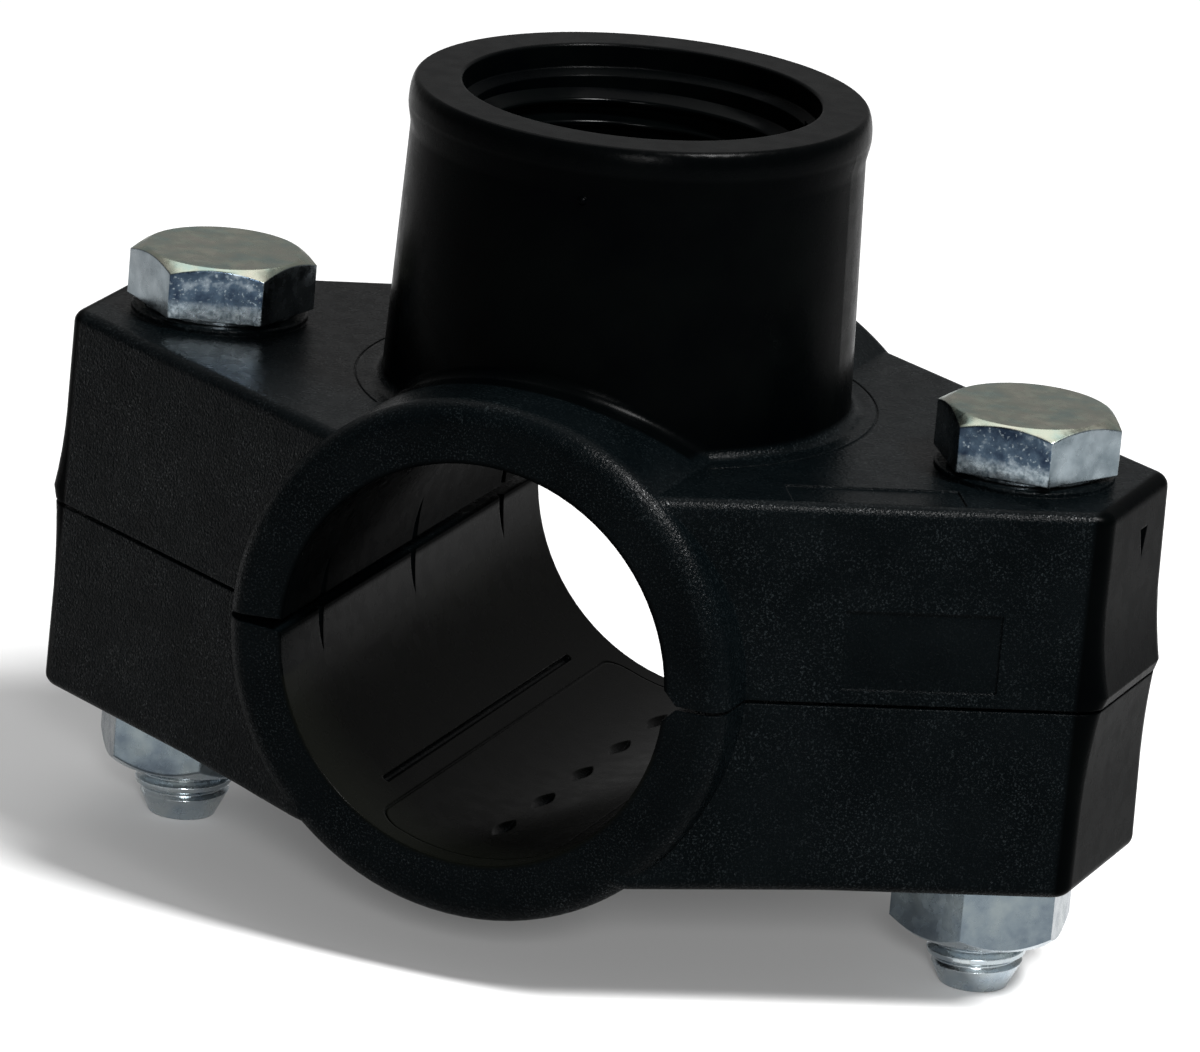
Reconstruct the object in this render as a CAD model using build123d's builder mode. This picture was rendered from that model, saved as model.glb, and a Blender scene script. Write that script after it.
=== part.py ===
from build123d import *
import math
import os

# Two-bolt tapping saddle for a plastic pipe. Sizes are in millimetres, angles in degrees.
# The origin is the centre of the pipe bore, on the plane where the two halves part.
# X runs from bolt to bolt, Y runs along the pipe and Z goes up through the outlet.

# Pipe bore and collar
pipe_diameter = 32.0
bore_clearance = 0.05
collar_wall = 4.85
collar_length = 52.0
collar_edge_radius = 1.8

# Parting gap between the halves, with a wider slot through the collar wall on the -X side
# and bevelled edges in the bore on the +X side
seam_gap = 0.3
slot_inner_gap = 1.05
slot_outer_gap = 0.45
seam_bevel_gap = 2.4
seam_bevel_depth = 1.0

# Ears: a lozenge with blunt ends, seen from above
bolt_spacing = 68.8
ear_overhang = 10.6
ear_end_width = 13.8
ear_corner_radius = 2.0
shoulder_radius = 8.0
ear_edge_radius = 1.0
flank_angle = 30.6
upper_height = 15.95
upper_draft = 1.3
lower_height = 15.2
lower_draft = -2.0

# The ears' end faces swell out towards the parting plane. The lower ones start end_step further in.
end_swell_height = 8.0
upper_end_swell = 0.8
lower_end_swell = 0.6
end_step = 0.4
end_bevel_width = 0.35
end_bevel_height = 1.0

# The lower half's underside falls away from the nuts' flat seats to the collar
seat_radius = 7.6
underside_angle = 2.0

# Raised pads under the bolt heads
pad_radius = 7.1
pad_height = 0.5
pad_edge_radius = 0.2

# Outside of the outlet boss, with a rolled lip at its rim
boss_height = 40.4
boss_neck_radius = 17.9
boss_draft = 1.9
boss_foot_radius = 1.0
boss_pip_radius = 0.35
boss_pip_height = 35.9
boss_pip_angle = -81.6
lip_radius = 18.2
lip_height = 4.1
lip_roll_inset = 0.6
lip_roll_drop = 2.0
lip_flare_ease = 0.8

# Inside of the outlet, from the mouth down: plain mouth, sloping ledge, thread wall, port
mouth_radius = 14.1
mouth_depth = 1.9
mouth_edge_radius = 0.25
ledge_depth = 0.5
thread_major_radius = 13.22
thread_length = 16.4
port_radius = 9.5

# Rubber seal round the port, in a groove of the upper half's bore
seal_inner_radius = 10.4
seal_width = 3.2
seal_thickness = 2.0
seal_clearance = 0.08

# Hexagon bolts
bolt_radius = 3.95
bolt_hole_clearance = 0.55
bolt_point_length = 2.6
bolt_point_radius = 2.7
bolt_tail = 4.6
hex_across_flats = 13.0
hex_chamfer_inset = 0.3
head_chamfer_angle = 30.0
head_height = 4.8
head_washer_height = 0.4
head_washer_radius = 6.1
left_head_turn = 20.0
right_head_turn = 3.6

# Hexagon nuts
nut_height = 6.4
nut_chamfer_angle = 40.0
nut_clearance = 0.05
nut_mouth_chamfer = 0.4
left_nut_turn = 2.9
right_nut_turn = 38.6

# Hairline witness marks of the mould
witness_width = 0.18
witness_depth = 0.1
boss_witness_radius = 20.75
boss_witness_from_x = 14.0
bore_panel_width = 15.2
bore_panel_length = 48.2
bore_panel_corner = 2.0

# Marks in the bore: long grooves, a row of diamond pits, and tapered notches at the seam
groove_angle = 35.0
groove_length = 38.0
groove_width = 0.6
groove_depth = 0.35
pit_pitch = 8.0
pit_count = 5
pit_length = 4.5
pit_width = 1.3
pit_depth = 0.55
notch_pitch = 18.2
notch_count = 3
notch_height = 8.2
notch_width = 1.0
notch_depth = 0.5

# Blank marking fields on the upper half
flank_panel_length = 12.3
flank_panel_height = 6.3
flank_panel_from_seam = 1.25
flank_panel_from_tip = 14.6
panel_depth = 0.15
strip_length = 13.6
strip_width = 4.0
strip_from_edge = 3.3
strip_from_tip = 18.7
end_notch_width = 1.6
end_notch_height = 2.4
end_notch_from_top = 4.2
end_notch_side = 1.2
end_notch_depth = 0.3

# Sizes that follow from the ones above
bore_radius = pipe_diameter / 2 + bore_clearance
collar_radius = bore_radius + collar_wall
collar_half = collar_length / 2
bolt_x = bolt_spacing / 2
end_x = bolt_x + ear_overhang
end_half = ear_end_width / 2
seam_half = seam_gap / 2
flank_slope = math.tan(math.radians(flank_angle))
flank_reach = end_half + end_x * flank_slope
mouth_floor = boss_height - mouth_depth
thread_top = mouth_floor - ledge_depth
thread_bottom = thread_top - thread_length
bolt_hole_radius = bolt_radius + bolt_hole_clearance
head_bottom = upper_height + pad_height
tail_end = -lower_height - nut_height - bolt_tail
beyond = 10.0
same = 0.01
pipe_plane = Plane.XZ.offset(-collar_half)


def flank_plan():
    """The ears' flanks seen from above, running on to a point at each end."""
    point_x = flank_reach / flank_slope
    shoulder_x = (flank_reach - collar_half) / flank_slope
    corners = [
        (point_x, 0),
        (shoulder_x, collar_half),
        (-shoulder_x, collar_half),
        (-point_x, 0),
        (-shoulder_x, -collar_half),
        (shoulder_x, -collar_half),
    ]
    with BuildSketch(Plane.XY) as plan:
        with BuildLine():
            Polyline(*corners, close=True)
        make_face()
        fillet(plan.vertices().filter_by(lambda v: abs(v.Y) > end_half), shoulder_radius)
    return plan.sketch


def end_outline(direction, height, seam_x, swell, bevel, slope_angle):
    """One half of the ears seen along the pipe. The ends swell out towards the parting plane, where bevel cuts
    their edge back, and the flat far side slopes on from the bolts' seats."""
    start_z = bevel / end_bevel_width * end_bevel_height
    run = end_swell_height - start_z
    swell_radius = (run**2 + swell**2) / (2 * swell)
    waist_x = seam_x - swell
    middle_x = waist_x + swell_radius - math.sqrt(swell_radius**2 - (run / 2) ** 2)
    seat_x = bolt_x - seat_radius
    middle_height = height + seat_x * math.tan(math.radians(slope_angle))
    with BuildSketch(pipe_plane) as outline:
        with BuildLine():
            Line((0, 0), (seam_x - bevel, 0))
            if bevel:
                Line((seam_x - bevel, 0), (seam_x, direction * start_z))
            ThreePointArc(
                (seam_x, direction * start_z),
                (middle_x, direction * (start_z + run / 2)),
                (waist_x, direction * end_swell_height),
            )
            Line((waist_x, direction * end_swell_height), (waist_x, direction * height))
            Line((waist_x, direction * height), (seat_x, direction * height))
            Line((seat_x, direction * height), (0, direction * middle_height))
            mirror(about=Plane.YZ)
        make_face()
    return outline.sketch


def parting_outline(direction):
    """What is cleared away at the parting plane, seen along the pipe, with the collar's slot and bevel."""
    steps = [
        (-end_x - beyond, seam_half),
        (-collar_radius, seam_half),
        (-collar_radius, slot_outer_gap / 2),
        (-bore_radius, slot_inner_gap / 2),
        (0, slot_inner_gap / 2),
        (0, seam_bevel_gap / 2),
        (bore_radius, seam_bevel_gap / 2),
        (bore_radius + seam_bevel_depth, seam_half),
        (end_x + beyond, seam_half),
        (end_x + beyond, -collar_radius - beyond),
        (-end_x - beyond, -collar_radius - beyond),
    ]
    with BuildSketch(pipe_plane) as outline:
        with BuildLine():
            Polyline(*[(x, direction * z) for x, z in steps], close=True)
        make_face()
    return outline.sketch


def collar_body():
    """The collar about the pipe, its outer edges rounded, before the bore is cut."""
    with BuildPart() as collar:
        with BuildSketch(Plane.YZ) as section:
            with Locations((0, collar_radius / 2)):
                Rectangle(collar_length, collar_radius)
            fillet(section.vertices().group_by(Axis.Z)[-1], collar_edge_radius)
        revolve(axis=Axis.Y)
    return collar.part


def v_disc(chord, mouth, depth, drop):
    """A disc about Z with a sharp rim, and its radius. Sunk by depth into a wall, it leaves a notch as long as
    chord and as wide as mouth. The wall falls back by drop at the notch's ends."""
    sink = depth + drop
    radius = ((chord / 2) ** 2 + sink**2) / (2 * sink)
    half_thick = mouth / 2 * radius / depth
    with BuildPart() as disc:
        with BuildSketch(Plane.XZ):
            with BuildLine():
                Polyline((0, -half_thick), (radius, 0), (0, half_thick), close=True)
            make_face()
        revolve(axis=Axis.Z)
    return disc.part, radius


def seam_notches():
    """Tapered notches that cross the parting plane on both walls of the bore."""
    drop = bore_radius - math.sqrt(bore_radius**2 - (notch_height / 2) ** 2)
    disc, radius = v_disc(notch_height, notch_width, notch_depth, drop)
    centre_x = bore_radius + notch_depth - radius
    with BuildPart() as notches:
        with Locations((-centre_x, 0, 0), (centre_x, 0, 0)):
            with GridLocations(1, notch_pitch, 1, notch_count):
                add(disc.rotate(Axis.X, 90))
    return notches.part


def bore_pits():
    """A row of diamond pits along the bottom of the bore."""
    disc, radius = v_disc(pit_length, pit_width, pit_depth, 0)
    with BuildPart() as pits:
        with Locations((0, 0, radius - bore_radius - pit_depth)):
            with GridLocations(1, pit_pitch, 1, pit_count):
                add(disc.rotate(Axis.Y, 90))
    return pits.part


def port_ring(inner, outer, wall_inner, wall_outer):
    """A ring about the outlet's axis that is bent to the pipe's curve."""
    with BuildPart() as ring:
        with BuildSketch(Plane.XY):
            Circle(outer)
            Circle(inner, mode=Mode.SUBTRACT)
        extrude(amount=wall_outer + beyond)
        with BuildSketch(pipe_plane):
            Circle(wall_outer)
        extrude(amount=collar_length, mode=Mode.INTERSECT)
        with BuildSketch(pipe_plane):
            Circle(wall_inner)
        extrude(amount=collar_length, mode=Mode.SUBTRACT)
    return ring.part


def hex_block(level, height, turn, chamfer_angle, chamfer_bottom):
    """A hexagon with its corners turned off at the top, and at the bottom if asked."""
    flat_radius = hex_across_flats / 2
    corner_radius = flat_radius / math.cos(math.radians(30))
    rim_radius = flat_radius - hex_chamfer_inset
    drop = (corner_radius - rim_radius) * math.tan(math.radians(chamfer_angle))
    outline = [(0, level + height), (rim_radius, level + height), (corner_radius, level + height - drop)]
    if chamfer_bottom:
        outline += [(corner_radius, level + drop), (rim_radius, level)]
    else:
        outline += [(corner_radius, level)]
    outline += [(0, level)]
    with BuildPart() as block:
        with BuildSketch(Plane.XY.offset(level)):
            RegularPolygon(flat_radius, 6, major_radius=False, rotation=turn)
        extrude(amount=height)
        with BuildSketch(Plane.XZ):
            with BuildLine():
                Polyline(*outline, close=True)
            make_face()
        revolve(axis=Axis.Z, mode=Mode.INTERSECT)
    return block.part


def upright_edges(part):
    """The edges that rise up the ears' corners."""
    return part.edges().filter_by(lambda e: abs(e.center().X) > bolt_x and abs((e @ 1 - e @ 0).Z) > same)


def boss_radius_at(z):
    """Radius of the boss's tapered wall at height z."""
    return boss_neck_radius + (boss_height - lip_height - z) * math.tan(math.radians(boss_draft))


def on_boss_foot(edge):
    """Whether an edge runs round the foot of the boss."""
    middle = edge @ 0.5
    off_wall = math.hypot(middle.X, middle.Y) - boss_radius_at(middle.Z)
    return middle.Z < collar_radius + same and abs(off_wall) < same


def boss_body():
    """The outlet boss as one solid of revolution, from the pipe's axis up. It flares softly out to its rolled lip."""
    roll_centre = (lip_radius - lip_roll_inset, boss_height - lip_roll_drop)
    draft = math.radians(boss_draft)
    neck = (boss_neck_radius, boss_height - lip_height)
    lip = (lip_radius, boss_height - lip_roll_drop)
    with BuildPart() as boss:
        with BuildSketch(Plane.XZ):
            with BuildLine():
                Polyline((0, boss_height), (0, 0), (boss_radius_at(0), 0), neck)
                Bezier(
                    neck,
                    (neck[0] - lip_flare_ease * math.sin(draft), neck[1] + lip_flare_ease * math.cos(draft)),
                    (lip[0], lip[1] - lip_flare_ease),
                    lip,
                )
                EllipticalCenterArc(roll_centre, lip_roll_inset, lip_roll_drop, start_angle=0, arc_size=90)
                Line((lip_radius - lip_roll_inset, boss_height), (0, boss_height))
            make_face()
        revolve(axis=Axis.Z)
    return boss.part


def outlet_hollow():
    """The way through the boss: port, thread wall, sloping ledge and plain mouth."""
    with BuildPart() as hollow:
        with BuildSketch(Plane.XZ):
            with BuildLine():
                Polyline(
                    (0, 0),
                    (port_radius, 0),
                    (port_radius, thread_bottom),
                    (thread_major_radius, thread_bottom),
                    (thread_major_radius, thread_top),
                    (mouth_radius, mouth_floor),
                    (mouth_radius, boss_height),
                    (0, boss_height),
                    close=True,
                )
            make_face()
        revolve(axis=Axis.Z)
    return hollow.part


def ears(direction, height, draft, outline):
    """One half's pair of ears, solid through the middle."""
    with BuildPart() as block:
        extrude(flank_plan(), amount=direction * (height + beyond), taper=draft)
        extrude(outline, amount=collar_length, mode=Mode.INTERSECT)
        fillet(upright_edges(block), ear_corner_radius)
        far_edges = block.edges().filter_by(lambda e: direction * e.center().Z > height - same)
        creases = far_edges.filter_by(Axis.Y).filter_by(lambda e: abs(e.center().X) < bolt_x)
        fillet(far_edges - creases, ear_edge_radius)
    return block.part


def bolt_holes(direction, height):
    """The holes for both bolts through one half."""
    with BuildPart() as holes:
        with BuildSketch(Plane.XY):
            with Locations((-bolt_x, 0), (bolt_x, 0)):
                Circle(bolt_hole_radius)
        extrude(amount=direction * height)
    return holes.part


def boss_witness():
    """The hairline ring round the boss on the ears' top faces."""
    with BuildPart() as witness:
        with BuildSketch(Plane.XY.offset(upper_height - witness_depth)):
            Circle(boss_witness_radius)
            Circle(boss_witness_radius - witness_width, mode=Mode.SUBTRACT)
            Rectangle(2 * boss_witness_from_x, 2 * collar_length, mode=Mode.SUBTRACT)
        extrude(amount=beyond)
    return witness.part


def marking_fields():
    """Shallow blank fields in the front right flank and in the top face along it."""
    angle = math.radians(flank_angle)
    draft = math.radians(upper_draft)
    along = (math.cos(angle), math.sin(angle), 0)
    outward = (
        math.sin(angle) * math.cos(draft),
        -math.cos(angle) * math.cos(draft),
        math.sin(draft),
    )
    tip = Vector(end_x, -end_half, 0)
    flank = Plane(origin=tip - Vector(along) * flank_panel_from_tip, x_dir=along, z_dir=outward)
    top_origin = tip - Vector(along) * strip_from_tip + Vector(0, 0, upper_height - panel_depth)
    with BuildPart() as fields:
        with BuildSketch(flank.offset(-panel_depth)):
            with Locations((0, flank_panel_from_seam + flank_panel_height / 2)):
                Rectangle(flank_panel_length, flank_panel_height)
        extrude(amount=beyond)
        with BuildSketch(Plane(origin=top_origin, x_dir=along, z_dir=(0, 0, 1))):
            with Locations((0, strip_from_edge)):
                Rectangle(strip_length, strip_width)
        extrude(amount=beyond)
    return fields.part


def end_notch():
    """The small pointed notch in the +X end face."""
    top = upper_height - end_notch_from_top + end_notch_height / 2
    with BuildPart() as notch:
        with BuildSketch(Plane.YZ.offset(end_x - upper_end_swell - end_notch_depth)):
            with BuildLine():
                Polyline(
                    (end_notch_side - end_notch_width / 2, top),
                    (end_notch_side + end_notch_width / 2, top),
                    (end_notch_side, top - end_notch_height),
                    close=True,
                )
            make_face()
        extrude(amount=beyond)
    return notch.part


def bore_panel():
    """The hairline edge of a rounded panel round the row of pits, on the wall of the bore."""
    with BuildPart() as panel:
        with BuildSketch(Plane.XY):
            RectangleRounded(bore_panel_width, bore_panel_length, bore_panel_corner)
            RectangleRounded(
                bore_panel_width - 2 * witness_width,
                bore_panel_length - 2 * witness_width,
                bore_panel_corner - witness_width,
                mode=Mode.SUBTRACT,
            )
        extrude(amount=-collar_radius)
        with BuildSketch(pipe_plane):
            Circle(bore_radius + witness_depth)
        extrude(amount=collar_length, mode=Mode.INTERSECT)
    return panel.part


def bore_grooves():
    """Two round grooves along the bore, low on each side."""
    angle = math.radians(groove_angle)
    radius = ((groove_width / 2) ** 2 + groove_depth**2) / (2 * groove_depth)
    centre = bore_radius + groove_depth - radius
    half_run = groove_length / 2 - radius
    with BuildPart() as grooves:
        for side in (-1, 1):
            groove_x = side * centre * math.sin(angle)
            groove_z = -centre * math.cos(angle)
            with Locations((groove_x, 0, groove_z)):
                Cylinder(radius, 2 * half_run, rotation=(90, 0, 0))
            with Locations((groove_x, -half_run, groove_z), (groove_x, half_run, groove_z)):
                Sphere(radius)
    return grooves.part


def hex_bolt(turn):
    """A bolt about Z: plain shank with a cone point, washer face and hexagon head turned by turn."""
    head_top = head_bottom + head_height
    with BuildPart() as bolt:
        with BuildSketch(Plane.XZ):
            with BuildLine():
                Polyline(
                    (0, tail_end),
                    (bolt_point_radius, tail_end),
                    (bolt_radius, tail_end + bolt_point_length),
                    (bolt_radius, head_bottom),
                    (head_washer_radius, head_bottom),
                    (head_washer_radius, head_bottom + head_washer_height),
                    (0, head_bottom + head_washer_height),
                    close=True,
                )
            make_face()
        revolve(axis=Axis.Z)
        hex_bottom = head_bottom + head_washer_height
        add(hex_block(hex_bottom, head_top - hex_bottom, turn, head_chamfer_angle, False))
    return bolt.part


def hex_nut(turn):
    """A nut about Z under the lower half, its bore opened at both mouths."""
    nut_bottom = -lower_height - nut_height
    nut_bore = bolt_radius + nut_clearance
    with BuildPart() as nut:
        add(hex_block(nut_bottom, nut_height, turn, nut_chamfer_angle, True))
        with BuildSketch(Plane.XZ):
            with BuildLine():
                Polyline(
                    (0, nut_bottom),
                    (nut_bore + nut_mouth_chamfer, nut_bottom),
                    (nut_bore, nut_bottom + nut_mouth_chamfer),
                    (nut_bore, -lower_height - nut_mouth_chamfer),
                    (nut_bore + nut_mouth_chamfer, -lower_height),
                    (0, -lower_height),
                    close=True,
                )
            make_face()
        revolve(axis=Axis.Z, mode=Mode.SUBTRACT)
    return nut.part


# Upper half: ears, half collar and outlet boss
with BuildPart() as upper_half:
    upper_outline = end_outline(1, upper_height, end_x, upper_end_swell, end_bevel_width, 0)
    add(ears(1, upper_height, upper_draft, upper_outline))
    add(collar_body())
    add(boss_body())
    fillet(upper_half.edges().filter_by(on_boss_foot), boss_foot_radius)
    with BuildSketch(Plane.XY.offset(upper_height)):
        with Locations((-bolt_x, 0), (bolt_x, 0)):
            Circle(pad_radius)
    extrude(amount=pad_height)
    fillet(upper_half.edges(Select.LAST).group_by(Axis.Z)[-1], pad_edge_radius)
    pip_x = boss_radius_at(boss_pip_height) * math.cos(math.radians(boss_pip_angle))
    pip_y = boss_radius_at(boss_pip_height) * math.sin(math.radians(boss_pip_angle))
    with Locations((pip_x, pip_y, boss_pip_height)):
        Sphere(boss_pip_radius)
    with BuildSketch(pipe_plane):
        Circle(bore_radius)
    extrude(amount=collar_length, mode=Mode.SUBTRACT)
    extrude(parting_outline(1), amount=collar_length, mode=Mode.SUBTRACT)
    add(outlet_hollow(), mode=Mode.SUBTRACT)
    fillet(upper_half.edges().group_by(Axis.Z)[-1].sort_by(SortBy.RADIUS)[0], mouth_edge_radius)
    add(port_ring(
        seal_inner_radius - seal_clearance,
        seal_inner_radius + seal_width + seal_clearance,
        bore_radius - seal_thickness,
        bore_radius + seal_thickness + seal_clearance,
    ), mode=Mode.SUBTRACT)
    add(bolt_holes(1, head_bottom), mode=Mode.SUBTRACT)
    add(seam_notches(), mode=Mode.SUBTRACT)
    add(boss_witness(), mode=Mode.SUBTRACT)
    add(marking_fields(), mode=Mode.SUBTRACT)
    add(end_notch(), mode=Mode.SUBTRACT)

# Lower half: ears and half collar
with BuildPart() as lower_half:
    lower_outline = end_outline(-1, lower_height, end_x - end_step, lower_end_swell, 0, underside_angle)
    add(ears(-1, lower_height, lower_draft, lower_outline))
    add(collar_body())
    with BuildSketch(pipe_plane):
        Circle(bore_radius)
    extrude(amount=collar_length, mode=Mode.SUBTRACT)
    extrude(parting_outline(-1), amount=collar_length, mode=Mode.SUBTRACT)
    add(bolt_holes(-1, lower_height), mode=Mode.SUBTRACT)
    add(seam_notches(), mode=Mode.SUBTRACT)
    add(bore_pits(), mode=Mode.SUBTRACT)
    add(bore_panel(), mode=Mode.SUBTRACT)
    add(bore_grooves(), mode=Mode.SUBTRACT)

# Rubber ring in its groove, flush with the bore
with BuildPart() as outlet_seal:
    add(port_ring(
        seal_inner_radius,
        seal_inner_radius + seal_width,
        bore_radius,
        bore_radius + seal_thickness,
    ))

# Bolts, heads up, and nuts under the lower half
with BuildPart() as bolt_right:
    with Locations((bolt_x, 0, 0)):
        add(hex_bolt(right_head_turn))

with BuildPart() as bolt_left:
    with Locations((-bolt_x, 0, 0)):
        add(hex_bolt(left_head_turn))

with BuildPart() as nut_right:
    with Locations((bolt_x, 0, 0)):
        add(hex_nut(right_nut_turn))

with BuildPart() as nut_left:
    with Locations((-bolt_x, 0, 0)):
        add(hex_nut(left_nut_turn))

upper_half.part.label = "upper_half"
lower_half.part.label = "lower_half"
outlet_seal.part.label = "outlet_seal"
bolt_right.part.label = "bolt_right"
bolt_left.part.label = "bolt_left"
nut_right.part.label = "nut_right"
nut_left.part.label = "nut_left"

os.makedirs("parts", exist_ok=True)
export_step(upper_half.part, "parts/upper_half.step")
export_step(lower_half.part, "parts/lower_half.step")
export_step(outlet_seal.part, "parts/outlet_seal.step")
export_step(bolt_right.part, "parts/bolt_right.step")
export_step(bolt_left.part, "parts/bolt_left.step")
export_step(nut_right.part, "parts/nut_right.step")
export_step(nut_left.part, "parts/nut_left.step")
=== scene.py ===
import math

import bmesh
import bpy
from mathutils import Matrix, Vector


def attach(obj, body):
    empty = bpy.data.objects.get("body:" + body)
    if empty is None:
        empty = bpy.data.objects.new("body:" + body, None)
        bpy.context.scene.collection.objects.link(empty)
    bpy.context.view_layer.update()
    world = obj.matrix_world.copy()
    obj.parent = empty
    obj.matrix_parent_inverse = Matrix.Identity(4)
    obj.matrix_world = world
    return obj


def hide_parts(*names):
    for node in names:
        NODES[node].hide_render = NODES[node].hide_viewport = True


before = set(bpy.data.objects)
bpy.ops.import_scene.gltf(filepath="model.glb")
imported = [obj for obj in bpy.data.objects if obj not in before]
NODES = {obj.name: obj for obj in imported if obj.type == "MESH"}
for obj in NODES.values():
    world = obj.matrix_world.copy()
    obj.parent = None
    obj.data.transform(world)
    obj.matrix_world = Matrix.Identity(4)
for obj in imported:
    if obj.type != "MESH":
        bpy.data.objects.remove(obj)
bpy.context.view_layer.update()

MM = 0.001

# Sizes of the solids that the drawn threads follow, in mm
BOLT_X = 34.4
HEAD_BOTTOM = 16.45
BOLT_TAIL = -26.2
BOLT_RADIUS = 3.95
BOLT_POINT_RADIUS = 2.7
BOLT_POINT_LENGTH = 2.6
OUTLET_WALL = 13.22

# The bolts' thread, in mm. Its section is (share of the pitch, radius), drawn with BOLT_STEPS points
# a turn. The shank reaches into the head by SHANK_SUNK
BOLT_PITCH = 1.25
BOLT_ROOT = 3.35
BOLT_THREAD_START = 0.39
BOLT_SECTION = (
    (0.0, BOLT_RADIUS - 0.04),
    (0.06, BOLT_RADIUS),
    (0.3, BOLT_RADIUS),
    (0.36, BOLT_RADIUS - 0.04),
    (0.58, BOLT_ROOT + 0.05),
    (0.64, BOLT_ROOT),
    (0.7, BOLT_ROOT),
    (0.76, BOLT_ROOT + 0.05),
)
BOLT_STEPS = 64
SHANK_SUNK = 1

# The outlet's thread ridge, in mm. Its section is (share of the pitch, share of the depth in from the
# wall), drawn with RIDGE_STEPS points a turn. Its foot is sunk into the wall
OUTLET_PITCH = 1.814
OUTLET_CREST = 12.06
RIDGE_LOW = 22.9
RIDGE_TURNS = 8.1
RIDGE_FOOT = 0.06
RIDGE_SECTION = (
    (-0.46, -RIDGE_FOOT),
    (-0.42, 0.05),
    (-0.34, 0.16),
    (-0.13, 0.84),
    (-0.07, 0.96),
    (0.0, 1.0),
    (0.07, 0.96),
    (0.13, 0.84),
    (0.34, 0.16),
    (0.42, 0.05),
    (0.46, -RIDGE_FOOT),
)
RIDGE_STEPS = 96

# The rounding of the bolts' and nuts' edges: its width in mm and its segments
EDGE_ROUND = 0.12
EDGE_SEGMENTS = 3

# Angles between faces, in degrees: rounded above it, taken as flat below it, and shaded smooth up to it
ROUNDED_ABOVE = 25
FLAT_BELOW = 1
HEAD_SMOOTH = 35
SHANK_SMOOTH = 28
RIDGE_SMOOTH = 50

# How near counts as the same place, in mm. The points of a drawn shank are welded within SHANK_WELD
NEAR = 1e-3
SHANK_WELD = 1e-4

# Where the moulding's surface changes, in mm: the boss above its foot and below its lip, the bore's wall
# with its duller top and its painted reflection low down, the ears' ends and the flank's blank panel.
# MASK_BORDER is half the width of each change
BOSS_FOOT = 16.6
BOSS_REACH = 20.4
LIP_FOOT = 38.2
BORE_REACH = 16.25
BORE_DULL_ABOVE = -1.0
BORE_REFLECTION_BELOW = -4.0
EAR_END = 43.1
PANEL_X = (27.2, 37.6)
PANEL_Z = (1.35, 7.45)
PANEL_FRONT = -8.0
MASK_BORDER = 0.2

# Where the zinc's surface changes, in mm: the heads' lower band, where a highlight is painted, and the
# nuts' sides, where shade is painted
HEAD_HIGHLIGHT_BAND = (17.7, 18.5)
NUT_SIDES = (-21.5, -15.3)

# The plastic's colours: over its clouds where it is grained and where it is polished, of its specks,
# which are painted glints, and of a painted reflection low down in the bore
GRAINED = ((0.3, (0.0003, 0.0007, 0.0009)), (0.7, (0.0009, 0.0015, 0.0018)))
POLISHED = ((0.3, (0.0001, 0.0002, 0.0003)), (0.7, (0.0004, 0.0006, 0.0006)))
PAINTED_GLINT = (0.0055, 0.0078, 0.0088)
PAINTED_BORE_REFLECTION = (0.0016, 0.0018, 0.0013)

# How strongly the plastic mirrors on its level faces, and by what its other places multiply that
LEVEL_GLOSS = 0.035
UPRIGHT_GAIN = 0.36
WALL_GAIN = 0.5
END_GAIN = 0.3
BORE_TOP_GAIN = 0.1
SPECK_GAIN = 4.5
THREAD_GLOSS = 0.03

# The rubber's colours over its bloom, and how strongly it mirrors
RUBBER = ((0.35, (0.010, 0.010, 0.010)), (0.7, (0.020, 0.020, 0.019)))
RUBBER_GLOSS = 0.3

# The zinc's colours over its clouds: a painted reflection tint on the heads' tops, its own silver
# elsewhere, a painted darker reflection on the heads' end facets and painted shade on the nuts' sides;
# and over finer noise a painted dark blue reflection and a painted highlight on the heads' front and
# back facets
PAINTED_TOP_TINT = ((0.32, (0.27, 0.35, 0.31)), (0.5, (0.35, 0.38, 0.31)), (0.7, (0.41, 0.40, 0.33)))
SILVER = ((0.32, (0.30, 0.36, 0.41)), (0.5, (0.38, 0.43, 0.46)), (0.7, (0.44, 0.48, 0.49)))
PAINTED_END_FACET_REFLECTION = ((0.34, (0.10, 0.125, 0.14)), (0.7, (0.21, 0.245, 0.265)))
PAINTED_NUT_SHADE = ((0.34, (0.10, 0.125, 0.15)), (0.5, (0.14, 0.17, 0.19)), (0.68, (0.18, 0.21, 0.22)))
PAINTED_DARK_REFLECTION = ((0.36, (0.016, 0.026, 0.045)), (0.56, (0.05, 0.075, 0.105)), (0.72, (0.24, 0.28, 0.31)))
PAINTED_HIGHLIGHT = ((0.35, (0.10, 0.13, 0.15)), (0.62, (0.32, 0.37, 0.40)))

# The floor: its grey, how much its seen colour is lifted towards white, half its side in metres and how
# far it lies below the bolts, in mm
FLOOR_GREY = 0.5
FLOOR_LIFT = 0.12
FLOOR_HALF = 15
FLOOR_GAP = 0.05

# The light: the world's strength, and the lamps as name, place, target, width, height and watts, with
# lengths in metres
WORLD_STRENGTH = 0.3
LAMPS = (
    ("sparkle_box", (0.54, -0.17, 0.77), (0, 0, 0.01), 0.2, 0.2, 24),
    ("front_box", (0.42, -0.95, 0.42), (0, 0, 0.01), 0.16, 0.16, 6),
    ("overhead_box", (-0.3, 0.5, 1.6), (0, 0, 0), 1.4, 1.2, 9),
)

# The fitted camera: azimuth, elevation and roll in degrees, lengths in mm, and its clipping in metres
CAMERA_ANGLES = (20.8837247, 17.1237003, 5.0760324)
CAMERA_DISTANCE = 818.26
CAMERA_OFFSET = (0.0812982, 4.4643222)
CAMERA_SENSOR = 36
CAMERA_LENS = 309.6
CAMERA_CLIP = (0.01, 100)


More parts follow.
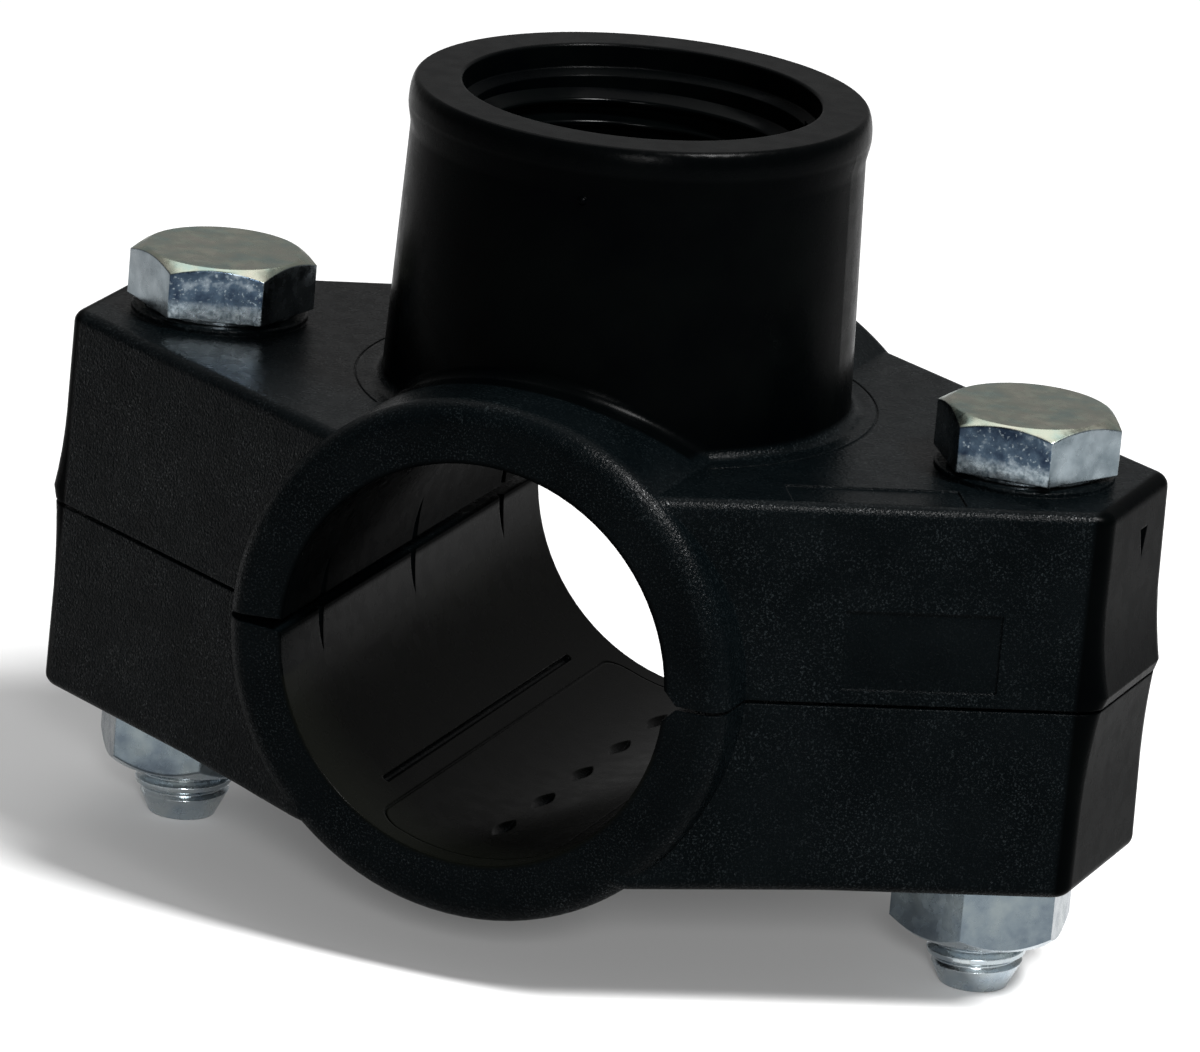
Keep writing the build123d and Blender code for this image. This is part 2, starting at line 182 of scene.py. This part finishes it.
def mesh_object(name, bm):
    """A new object from a bmesh whose lengths are in mm."""
    bmesh.ops.scale(bm, vec=(MM, MM, MM), verts=bm.verts)
    bmesh.ops.recalc_face_normals(bm, faces=bm.faces)
    mesh = bpy.data.meshes.new(name)
    bm.to_mesh(mesh)
    bm.free()
    obj = bpy.data.objects.new(name, mesh)
    bpy.context.scene.collection.objects.link(obj)
    return obj


def shade(obj, angle):
    """Smooth shading with edges sharper than angle, in degrees, kept sharp."""
    obj.data.shade_smooth()
    obj.data.set_sharp_from_angle(angle=math.radians(angle))


def bolt_limit(z):
    """The largest radius that the bolt's shank has at height z, down its cone point."""
    share = min(1.0, (z - BOLT_TAIL) / BOLT_POINT_LENGTH)
    return BOLT_POINT_RADIUS + (BOLT_RADIUS - BOLT_POINT_RADIUS) * share


def threaded_shank(bm, x, top):
    """A threaded tube about the bolt's axis at x, from its cone point up to top, not welded yet."""
    # Turns below the tail and above the top are pressed flat there
    turns = range(-2, math.ceil((top - BOLT_TAIL) / BOLT_PITCH) + 1)
    rows = []
    for turn in turns:
        for share, radius in BOLT_SECTION:
            row = []
            for k in range(BOLT_STEPS + 1):
                z = BOLT_TAIL + BOLT_THREAD_START + (turn + share + k / BOLT_STEPS) * BOLT_PITCH
                z = min(max(z, BOLT_TAIL), top)
                r = min(radius, bolt_limit(z))
                angle = 2 * math.pi * k / BOLT_STEPS
                row.append(bm.verts.new((x + r * math.cos(angle), r * math.sin(angle), z)))
            rows.append(row)
    for low, high in zip(rows, rows[1:]):
        for k in range(BOLT_STEPS):
            bm.faces.new((low[k], low[k + 1], high[k + 1], high[k]))


def closed_ends(bm, low, high):
    """Welds a shank's doubled vertices and closes its two ends at heights low and high."""
    bmesh.ops.remove_doubles(bm, verts=bm.verts, dist=SHANK_WELD)
    bmesh.ops.dissolve_degenerate(bm, dist=SHANK_WELD, edges=bm.edges)
    for level in (low, high):
        rim = [
            edge for edge in bm.edges
            if edge.is_boundary and all(abs(v.co.z - level) < NEAR for v in edge.verts)
        ]
        bmesh.ops.holes_fill(bm, edges=rim, sides=0)


def node_bmesh(node):
    """A welded copy of a CAD node's mesh, in mm."""
    bm = bmesh.new()
    bm.from_mesh(NODES[node].data)
    bmesh.ops.scale(bm, vec=(1 / MM, 1 / MM, 1 / MM), verts=bm.verts)
    bmesh.ops.remove_doubles(bm, verts=bm.verts, dist=NEAR)
    return bm


def rounded_object(name, bm):
    """A new object from a mesh in mm, with its flat faces made whole and its sharp edges rounded."""
    flat = math.radians(FLAT_BELOW)
    bmesh.ops.dissolve_limit(bm, angle_limit=flat, verts=bm.verts, edges=bm.edges)
    obj = mesh_object(name, bm)
    bevel = obj.modifiers.new("edge_round", "BEVEL")
    bevel.width = EDGE_ROUND * MM
    bevel.segments = EDGE_SEGMENTS
    bevel.limit_method = "ANGLE"
    bevel.angle_limit = math.radians(ROUNDED_ABOVE)
    shade(obj, HEAD_SMOOTH)
    return obj


def detailed_bolt(node, x):
    """The bolt's head with rounded edges, and its shank with a real thread."""
    bm = node_bmesh(node)
    shank = [f for f in bm.faces if f.calc_center_median().z < HEAD_BOTTOM - NEAR]
    bmesh.ops.delete(bm, geom=shank, context="FACES")
    bmesh.ops.holes_fill(bm, edges=[e for e in bm.edges if e.is_boundary], sides=0)
    head = rounded_object(node + "_head", bm)

    bm = bmesh.new()
    top = HEAD_BOTTOM + SHANK_SUNK
    threaded_shank(bm, x, top)
    closed_ends(bm, BOLT_TAIL, top)
    shank = mesh_object(node + "_thread", bm)
    shade(shank, SHANK_SMOOTH)
    for piece in (head, shank):
        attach(piece, "clamp_top")
        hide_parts(node)
    return head, shank


def detailed_nut(node, body):
    """The nut with rounded edges."""
    nut = rounded_object(node + "_rounded", node_bmesh(node))
    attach(nut, body)
    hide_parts(node)
    return nut


def outlet_thread():
    """The outlet's female thread: one ridge wound up the wall, that sinks into it at both ends."""
    depth = OUTLET_WALL - OUTLET_CREST
    total = int(RIDGE_TURNS * RIDGE_STEPS)
    fade = RIDGE_STEPS // 2
    bm = bmesh.new()
    rings = []
    for k in range(total + 1):
        rise = min(1.0, k / fade, (total - k) / fade)
        angle = 2 * math.pi * k / RIDGE_STEPS
        z = RIDGE_LOW + k / RIDGE_STEPS * OUTLET_PITCH
        ring = []
        for along, inward in RIDGE_SECTION:
            r = OUTLET_WALL - depth * (inward * rise if inward > 0 else inward)
            place = (r * math.cos(angle), r * math.sin(angle), z + along * OUTLET_PITCH)
            ring.append(bm.verts.new(place))
        rings.append(ring)
    count = len(RIDGE_SECTION)
    for a, b in zip(rings, rings[1:]):
        for j in range(count):
            bm.faces.new((a[j], a[(j + 1) % count], b[(j + 1) % count], b[j]))
    bm.faces.new(rings[0])
    bm.faces.new(rings[-1])
    ridge = mesh_object("outlet_thread_ridge", bm)
    shade(ridge, RIDGE_SMOOTH)
    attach(ridge, "clamp_top")
    return ridge


class Shader:
    """A node material under construction, with short calls for the nodes that all of them share."""

    def __init__(self, name):
        self.material = bpy.data.materials.new(name)
        self.material.use_nodes = True
        self.tree = self.material.node_tree
        self.tree.nodes.clear()
        output = self.node("ShaderNodeOutputMaterial")
        self.surface = self.node("ShaderNodeBsdfPrincipled")
        self.link(self.surface.outputs["BSDF"], output.inputs["Surface"])
        coordinates = self.node("ShaderNodeTexCoord")
        self.place = coordinates.outputs["Object"]
        self.facing = coordinates.outputs["Normal"]

    def node(self, kind):
        """A new node of this kind."""
        return self.tree.nodes.new(kind)

    def link(self, source, target):
        """Joins an output to an input."""
        self.tree.links.new(source, target)

    def split(self, vector):
        """The three coordinates of a vector."""
        parts = self.node("ShaderNodeSeparateXYZ")
        self.link(vector, parts.inputs["Vector"])
        return tuple(parts.outputs[axis] for axis in ("X", "Y", "Z"))

    def noise(self, size_mm, detail=2.0, rough=0.5):
        """Noise whose blotches are about size_mm across."""
        noise = self.node("ShaderNodeTexNoise")
        noise.inputs["Scale"].default_value = 1 / (size_mm * MM)
        noise.inputs["Detail"].default_value = detail
        noise.inputs["Roughness"].default_value = rough
        self.link(self.place, noise.inputs["Vector"])
        return noise.outputs["Fac"]

    def ramp(self, source, stops):
        """Colours by value: stops are (value, (r, g, b))."""
        ramp = self.node("ShaderNodeValToRGB")
        elements = ramp.color_ramp.elements
        while len(elements) < len(stops):
            elements.new(0.5)
        for element, (value, colour) in zip(elements, stops):
            element.position = value
            element.color = (*colour, 1)
        self.link(source, ramp.inputs["Fac"])
        return ramp.outputs["Color"]

    def spread(self, source, low, high, from_low=0.3, from_high=0.7):
        """Carries the source's values from_low and from_high to low and high, and holds them beyond."""
        spread = self.node("ShaderNodeMapRange")
        spread.inputs["From Min"].default_value = from_low
        spread.inputs["From Max"].default_value = from_high
        spread.inputs["To Min"].default_value = low
        spread.inputs["To Max"].default_value = high
        self.link(source, spread.inputs["Value"])
        return spread.outputs["Result"]

    def math(self, operation, *sources):
        """One arithmetic step on one source or two."""
        step = self.node("ShaderNodeMath")
        step.operation = operation
        for source, socket in zip(sources, step.inputs):
            self.link(source, socket)
        return step.outputs["Value"]

    def length(self, first, second):
        """The length of the hypotenuse over two coordinates."""
        squares = [self.math("MULTIPLY", source, source) for source in (first, second)]
        return self.math("SQRT", self.math("ADD", *squares))

    def absolute(self, source):
        """The source without its sign."""
        return self.math("ABSOLUTE", source)

    def product(self, first, *others):
        """The product of all the sources."""
        for other in others:
            first = self.math("MULTIPLY", first, other)
        return first

    def either(self, first, *others):
        """1 where any of the masks is 1."""
        for other in others:
            first = self.math("MAXIMUM", first, other)
        return first

    def both(self, first, *others):
        """1 where all of the masks are 1."""
        for other in others:
            first = self.math("MINIMUM", first, other)
        return first

    def choose(self, mask, inside, outside):
        """The number inside where the mask is 1, and outside where it is 0."""
        return self.spread(mask, low=outside, high=inside, from_low=0.0, from_high=1.0)

    def above(self, source, limit_mm):
        """1 where a coordinate is above a limit, with a soft border."""
        border = ((limit_mm - MASK_BORDER) * MM, (limit_mm + MASK_BORDER) * MM)
        return self.spread(source, low=0.0, high=1.0, from_low=border[0], from_high=border[1])

    def below(self, source, limit_mm):
        """1 where a coordinate is below a limit, with a soft border."""
        border = ((limit_mm - MASK_BORDER) * MM, (limit_mm + MASK_BORDER) * MM)
        return self.spread(source, low=1.0, high=0.0, from_low=border[0], from_high=border[1])

    def within(self, source, low_mm, high_mm):
        """1 where a coordinate lies between two limits, with soft borders."""
        return self.both(self.above(source, low_mm), self.below(source, high_mm))

    def blend(self, share, first, second):
        """The first colour where share is 0, the second where it is 1. Each is a source or (r, g, b)."""
        blend = self.node("ShaderNodeMix")
        blend.data_type = "RGBA"
        self.link(share, blend.inputs["Factor"])
        sockets = [socket for socket in blend.inputs if socket.type == "RGBA"]
        for colour, socket in zip((first, second), sockets):
            if isinstance(colour, tuple):
                socket.default_value = (*colour, 1)
            else:
                self.link(colour, socket)
        return next(socket for socket in blend.outputs if socket.type == "RGBA")

    def bump(self, height, depth_mm, normal=None):
        """Raises the surface by depth_mm where height is 1."""
        bump = self.node("ShaderNodeBump")
        bump.inputs["Strength"].default_value = 1.0
        bump.inputs["Distance"].default_value = depth_mm * MM
        self.link(height, bump.inputs["Height"])
        if normal:
            self.link(normal, bump.inputs["Normal"])
        return bump.outputs["Normal"]

    def soft_edges(self, radius_mm):
        """The surface normal turned round its edges, as if they had this radius."""
        soft = self.node("ShaderNodeBevel")
        soft.samples = 6
        soft.inputs["Radius"].default_value = radius_mm * MM
        return soft.outputs["Normal"]

    def complete(self, colour, roughness, normal):
        """Links the surface's colour, roughness and normal, and returns the material."""
        self.link(colour, self.surface.inputs["Base Color"])
        self.link(roughness, self.surface.inputs["Roughness"])
        self.link(normal, self.surface.inputs["Normal"])
        return self.material


def plastic_material():
    """Black moulded polypropylene with a spark-eroded grain, whose sparkle is partly painted: light
    specks in its colour stand in for glints. The outlet boss, the bore and the ears' ends are smoother,
    as the mould was polished there, and an olive reflection is painted low in the bore."""
    s = Shader("moulded_plastic")
    x, y, z = s.split(s.place)
    boss = s.both(s.above(z, BOSS_FOOT), s.below(s.length(x, y), BOSS_REACH))
    wall = s.both(boss, s.below(z, LIP_FOOT))
    bore = s.below(s.length(x, z), BORE_REACH)
    bore_top = s.both(bore, s.above(z, BORE_DULL_ABOVE))
    bore_painted_reflection = s.both(bore, s.below(z, BORE_REFLECTION_BELOW))
    end = s.above(s.absolute(x), EAR_END)
    panel = s.both(s.within(x, *PANEL_X), s.within(z, *PANEL_Z), s.below(y, PANEL_FRONT))
    smooth = s.either(boss, bore, end)
    rough = s.choose(smooth, inside=0.0, outside=1.0)
    upright = s.spread(s.split(s.facing)[2], low=1.0, high=0.0, from_low=0.3, from_high=0.8)

    clouds = s.noise(size_mm=7, detail=3)
    dots = s.noise(size_mm=0.17, rough=0.6)
    patches = s.noise(size_mm=4.5, detail=3, rough=0.6)
    specks = s.product(
        s.spread(dots, low=0.0, high=1.0, from_low=0.55, from_high=0.68),
        s.spread(patches, low=0.3, high=1.0, from_low=0.38, from_high=0.62),
        rough,
        s.choose(panel, inside=0.25, outside=1.0),
    )
    # Painted highlight: light specks in the grained colour stand in for glints
    grained_with_painted_glints = s.blend(s.choose(specks, inside=0.8, outside=0.0), s.ramp(clouds, GRAINED), PAINTED_GLINT)
    # Painted reflection: an olive tint low in the bore, over the polished colour
    polished = s.blend(bore_painted_reflection, s.ramp(clouds, POLISHED), PAINTED_BORE_REFLECTION)
    gloss = s.product(
        s.choose(upright, inside=UPRIGHT_GAIN * LEVEL_GLOSS, outside=LEVEL_GLOSS),
        s.choose(wall, inside=WALL_GAIN, outside=1.0),
        s.choose(end, inside=END_GAIN, outside=1.0),
        s.choose(bore_top, inside=BORE_TOP_GAIN, outside=1.0),
        s.choose(specks, inside=SPECK_GAIN, outside=1.0),
    )
    s.link(gloss, s.surface.inputs["Specular IOR Level"])
    grain = s.product(
        s.noise(size_mm=0.22, rough=0.6),
        s.choose(rough, inside=1.0, outside=0.1),
        s.choose(upright, inside=1.0, outside=0.4),
    )
    return s.complete(
        colour=s.blend(smooth, grained_with_painted_glints, polished),
        roughness=s.spread(s.noise(size_mm=1.6, detail=3), low=0.22, high=0.32),
        normal=s.bump(grain, depth_mm=0.10, normal=s.soft_edges(radius_mm=0.2)),
    )


def thread_plastic_material():
    """The same plastic in the moulded outlet thread, smoother, as its core pin was polished."""
    s = Shader("moulded_thread_plastic")
    s.surface.inputs["Specular IOR Level"].default_value = THREAD_GLOSS
    return s.complete(
        colour=s.ramp(s.noise(size_mm=4), POLISHED),
        roughness=s.spread(s.noise(size_mm=0.8, detail=3), low=0.14, high=0.22),
        normal=s.bump(s.noise(size_mm=0.3), depth_mm=0.004),
    )


def rubber_material():
    """Dark dull rubber with a fine dusty bloom."""
    s = Shader("seal_rubber")
    s.surface.inputs["Specular IOR Level"].default_value = RUBBER_GLOSS
    return s.complete(
        colour=s.ramp(s.noise(size_mm=2.5, detail=4), RUBBER),
        roughness=s.spread(s.noise(size_mm=1.2, detail=3), low=0.6, high=0.75),
        normal=s.bump(s.noise(size_mm=0.15, detail=3), depth_mm=0.01),
    )


def zinc_material():
    """Zinc plate over forged steel, softly lumpy, silver with bluish clouds. Light is painted into its
    colour
    by which way a face points: an olive reflection tint on the heads' tops, darker reflections on their
    end facets, shade on the nuts' sides, and on the heads' front and back facets dark blue reflections
    with painted highlights in spots and along their lower bands."""
    s = Shader("zinc_plate")
    facing_x, _, facing_z = s.split(s.facing)
    height = s.split(s.place)[2]
    side = s.spread(s.absolute(facing_z), low=1.0, high=0.0, from_low=0.45, from_high=0.8)
    front = s.spread(s.absolute(facing_x), low=1.0, high=0.0, from_low=0.42, from_high=0.6)
    on_head = s.above(height, 0)
    on_nut = s.within(height, *NUT_SIDES)
    band_low, band_high = (limit * MM for limit in HEAD_HIGHLIGHT_BAND)
    # The heads' lower band, where a highlight is painted
    highlight_band = s.spread(height, low=1.0, high=0.0, from_low=band_low, from_high=band_high)
    glints = s.spread(s.noise(size_mm=0.3), low=0.0, high=0.8, from_low=0.60, from_high=0.70)

    clouds = s.noise(size_mm=2.4, detail=3, rough=0.55)
    # Painted light on the heads' front and back facets: dark blue reflections, and highlights in glint
    # spots and along the lower band
    dark_reflection_paint = s.ramp(s.noise(size_mm=1.7, detail=3, rough=0.6), PAINTED_DARK_REFLECTION)
    highlight_paint = s.ramp(s.noise(size_mm=0.4, detail=3, rough=0.6), PAINTED_HIGHLIGHT)
    # The heads' end facets get a darker painted reflection, their front and back facets the painted
    # reflections and highlights above
    facets = s.blend(front, s.ramp(clouds, PAINTED_END_FACET_REFLECTION), s.blend(s.either(glints, highlight_band), dark_reflection_paint, highlight_paint))
    # Painted reflection tint: olive on the heads' tops, silver elsewhere
    bright = s.blend(on_head, s.ramp(clouds, SILVER), s.ramp(clouds, PAINTED_TOP_TINT))
    colour = s.blend(s.both(side, on_head), bright, facets)
    soft = s.soft_edges(radius_mm=0.12)
    lumps = s.bump(s.noise(size_mm=2.2, rough=0.45), depth_mm=0.05, normal=soft)
    s.surface.inputs["Metallic"].default_value = 1.0
    # Painted shade: the nuts' sides darker than the rest of the zinc
    return s.complete(
        colour=s.blend(s.both(side, on_nut), colour, s.ramp(clouds, PAINTED_NUT_SHADE)),
        roughness=s.spread(s.noise(size_mm=1.3, detail=3, rough=0.55), low=0.18, high=0.34),
        normal=s.bump(s.noise(size_mm=0.5), depth_mm=0.006, normal=lumps),
    )


def dress(obj, material):
    """Gives an object this one material in all its slots."""
    if not obj.data.materials:
        obj.data.materials.append(material)
    for k in range(len(obj.data.materials)):
        obj.data.materials[k] = material


def floor_material():
    """Pale grey, with its seen colour lifted to white by the Light Path's share."""
    material = bpy.data.materials.new("pale_floor")
    material.use_nodes = True
    nodes, links = material.node_tree.nodes, material.node_tree.links
    nodes.clear()
    output = nodes.new("ShaderNodeOutputMaterial")
    grey = nodes.new("ShaderNodeBsdfDiffuse")
    grey.inputs["Color"].default_value = (FLOOR_GREY, FLOOR_GREY, FLOOR_GREY, 1)
    lift = nodes.new("ShaderNodeEmission")
    path = nodes.new("ShaderNodeLightPath")
    seen = path.outputs["Is Camera Ray"]
    for ray in ("Is Glossy Ray", "Is Transmission Ray"):
        either = nodes.new("ShaderNodeMath")
        either.operation = "MAXIMUM"
        links.new(seen, either.inputs[0])
        links.new(path.outputs[ray], either.inputs[1])
        seen = either.outputs["Value"]
    strength = nodes.new("ShaderNodeMath")
    strength.operation = "MULTIPLY"
    strength.inputs[1].default_value = FLOOR_LIFT
    links.new(seen, strength.inputs[0])
    links.new(strength.outputs["Value"], lift.inputs["Strength"])
    total = nodes.new("ShaderNodeAddShader")
    links.new(grey.outputs["BSDF"], total.inputs[0])
    links.new(lift.outputs["Emission"], total.inputs[1])
    links.new(total.outputs["Shader"], output.inputs["Surface"])
    return material


def floor_piece(level):
    """A wide pale floor at this height, in metres."""
    bm = bmesh.new()
    bmesh.ops.create_grid(bm, x_segments=1, y_segments=1, size=FLOOR_HALF)
    bmesh.ops.translate(bm, vec=(0, 0, level), verts=bm.verts)
    mesh = bpy.data.meshes.new("floor")
    bm.to_mesh(mesh)
    bm.free()
    floor = bpy.data.objects.new("floor", mesh)
    bpy.context.scene.collection.objects.link(floor)
    floor.data.materials.append(floor_material())


def softbox(name, place, target, width, height, power):
    """A rectangular soft lamp at place that faces target."""
    data = bpy.data.lights.new(name, "AREA")
    data.shape = "RECTANGLE"
    data.size = width
    data.size_y = height
    data.energy = power
    lamp = bpy.data.objects.new(name, data)
    lamp.location = place
    lamp.rotation_euler = (Vector(target) - Vector(place)).to_track_quat("-Z", "Y").to_euler()
    lamp.visible_camera = False
    bpy.context.scene.collection.objects.link(lamp)


def world_light(strength):
    """An even soft white light from all round."""
    world = bpy.data.worlds.new("studio")
    world.use_nodes = True
    background = world.node_tree.nodes["Background"]
    background.inputs["Color"].default_value = (1, 1, 1, 1)
    background.inputs["Strength"].default_value = strength
    bpy.context.scene.world = world


def photo_camera():
    """The camera that was fitted to the photograph's edges."""
    azimuth, elevation, roll = (math.radians(angle) for angle in CAMERA_ANGLES)
    aside, above = (offset * MM for offset in CAMERA_OFFSET)
    back = Vector((
        math.sin(azimuth) * math.cos(elevation),
        -math.cos(azimuth) * math.cos(elevation),
        math.sin(elevation),
    ))
    level = Vector((math.cos(azimuth), math.sin(azimuth), 0))
    up = back.cross(level)
    right = level * math.cos(roll) + up * math.sin(roll)
    top = up * math.cos(roll) - level * math.sin(roll)
    data = bpy.data.cameras.new("photo_camera")
    data.sensor_fit = "HORIZONTAL"
    data.sensor_width = CAMERA_SENSOR
    data.lens = CAMERA_LENS
    data.clip_start, data.clip_end = CAMERA_CLIP
    camera = bpy.data.objects.new("photo_camera", data)
    place = right * aside + top * above + back * CAMERA_DISTANCE * MM
    turn = Matrix((right, top, back)).transposed().to_4x4()
    camera.matrix_world = Matrix.Translation(place) @ turn
    bpy.context.scene.collection.objects.link(camera)
    bpy.context.scene.camera = camera


# Pieces
ridge = outlet_thread()
zinc_pieces = [
    *detailed_bolt("bolt_right", BOLT_X),
    *detailed_bolt("bolt_left", -BOLT_X),
    detailed_nut("nut_right", "turning_nut_right"),
    detailed_nut("nut_left", "turning_nut_left"),
]

# Materials
plastic = plastic_material()
zinc = zinc_material()
dress(NODES["upper_half"], plastic)
dress(NODES["lower_half"], plastic)
dress(NODES["outlet_seal"], rubber_material())
dress(ridge, thread_plastic_material())
for piece in zinc_pieces:
    dress(piece, zinc)

# Stage
floor_piece((BOLT_TAIL - FLOOR_GAP) * MM)
world_light(WORLD_STRENGTH)
for lamp in LAMPS:
    softbox(*lamp)
photo_camera()
bpy.context.scene.view_settings.view_transform = "Standard"
